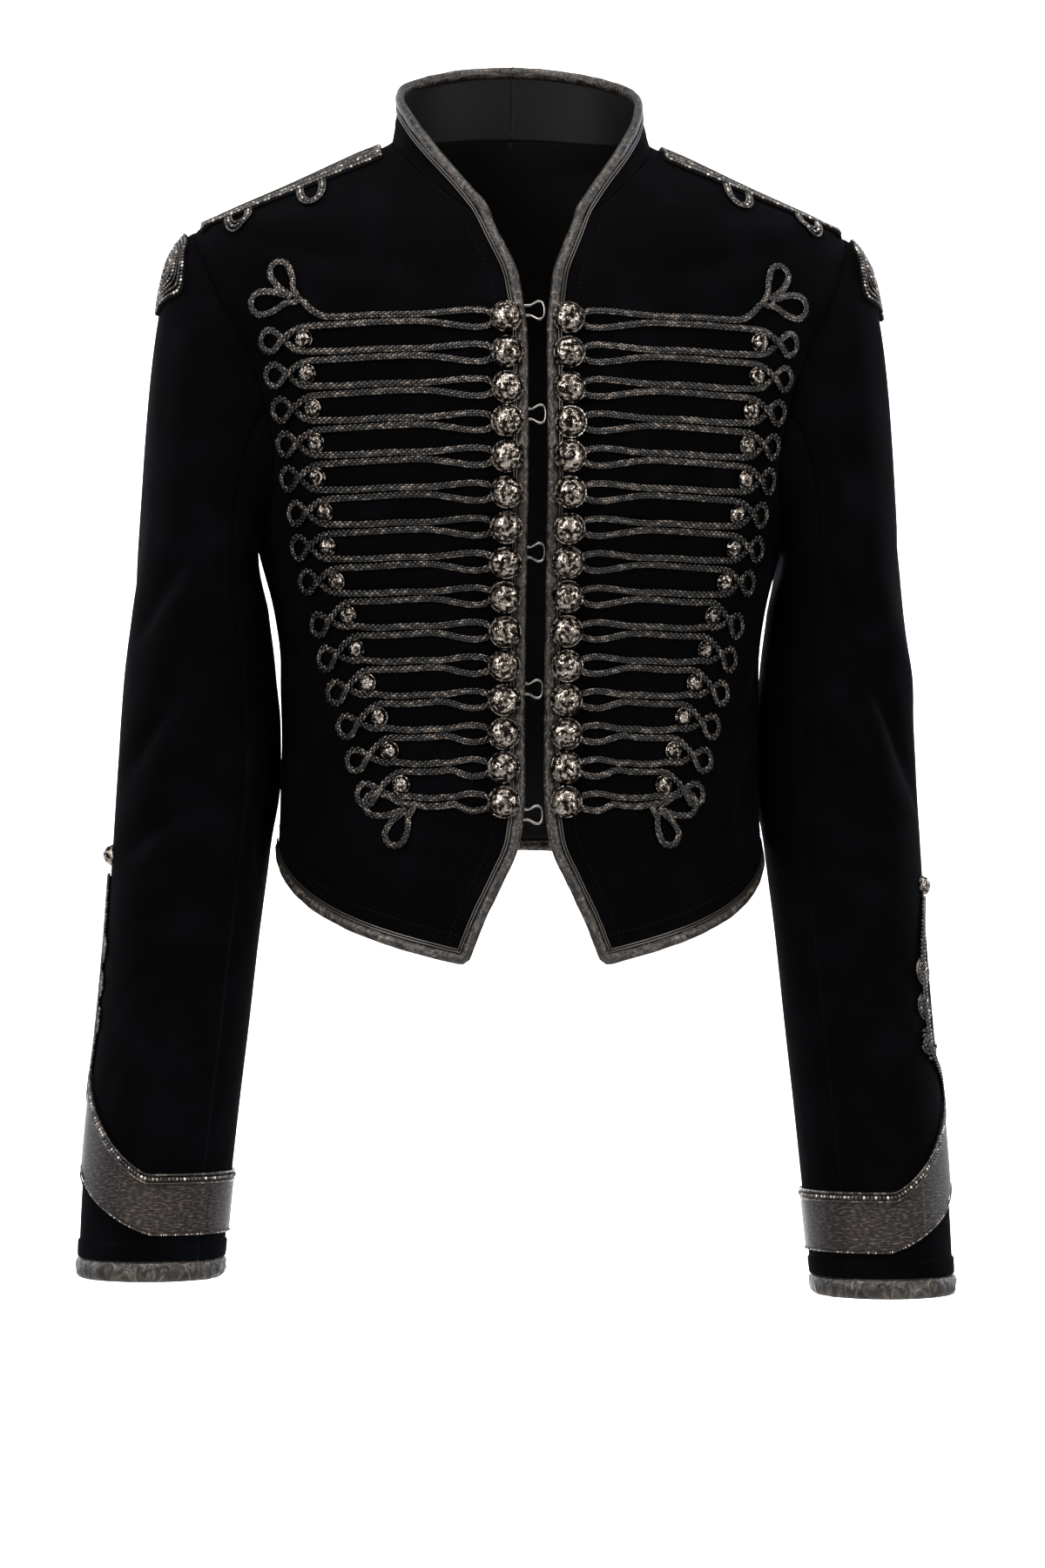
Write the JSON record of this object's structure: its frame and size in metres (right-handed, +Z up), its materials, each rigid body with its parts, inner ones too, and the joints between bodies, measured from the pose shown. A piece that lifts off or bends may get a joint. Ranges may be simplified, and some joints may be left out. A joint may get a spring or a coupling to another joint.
{
  "type": "velvet hussar jacket",
  "caption": "Cropped velvet jacket in its worn shape with stand collar, long two-piece sleeves, beaded frogging, shoulder boards and a satin edge roll",
  "frame": {"origin": "At the base of the neck, midway between the two side neck points, where the wearer's neck and shoulders hold the jacket up", "axes": "+X is the wearer's left, -Y is the front of the jacket and +Z is up"},
  "size_m": [0.5007, 0.2297, 0.7102],
  "materials": {
    "velvet": "near-black cut velvet with a dark navy sheen",
    "satin": "crushed grey-taupe satin",
    "bead_cord": "gunmetal glass beads sewn close in cords",
    "braid": "taupe metallic thread embroidery with beads",
    "pewter": "aged pewter-coloured metal, polished domes",
    "wire": "bright nickel wire"
  },
  "bodies": {
    "root": {"back": "velvet", "collar": "velvet", "front_left": "velvet", "top_sleeve_left": "velvet", "under_sleeve_left": "velvet", "cuff_trim_left": "satin", "cuff_braid_left": "braid", "edge_trim_left": "satin", "frogging_left": "bead_cord", "shoulder_board_left": "bead_cord", "sleeve_leaf_left": "bead_cord", "sleeve_button_left": "pewter", "button_left_01": "pewter", "button_left_02": "pewter", "button_left_03": "pewter", "button_left_04": "pewter", "button_left_05": "pewter", "button_left_06": "pewter", "button_left_07": "pewter", "button_left_08": "pewter", "button_left_09": "pewter", "button_left_10": "pewter", "button_left_11": "pewter", "button_left_12": "pewter", "button_left_13": "pewter", "button_left_14": "pewter", "button_left_15": "pewter", "front_right": "velvet", "top_sleeve_right": "velvet", "under_sleeve_right": "velvet", "cuff_trim_right": "satin", "cuff_braid_right": "braid", "edge_trim_right": "satin", "frogging_right": "bead_cord", "shoulder_board_right": "bead_cord", "sleeve_leaf_right": "bead_cord", "sleeve_button_right": "pewter", "button_right_01": "pewter", "button_right_02": "pewter", "button_right_03": "pewter", "button_right_04": "pewter", "button_right_05": "pewter", "button_right_06": "pewter", "button_right_07": "pewter", "button_right_08": "pewter", "button_right_09": "pewter", "button_right_10": "pewter", "button_right_11": "pewter", "button_right_12": "pewter", "button_right_13": "pewter", "button_right_14": "pewter", "button_right_15": "pewter", "hook_1": "wire", "hook_2": "wire", "hook_3": "wire", "hook_4": "wire", "hook_5": "wire"}
  },
  "joints": []
}
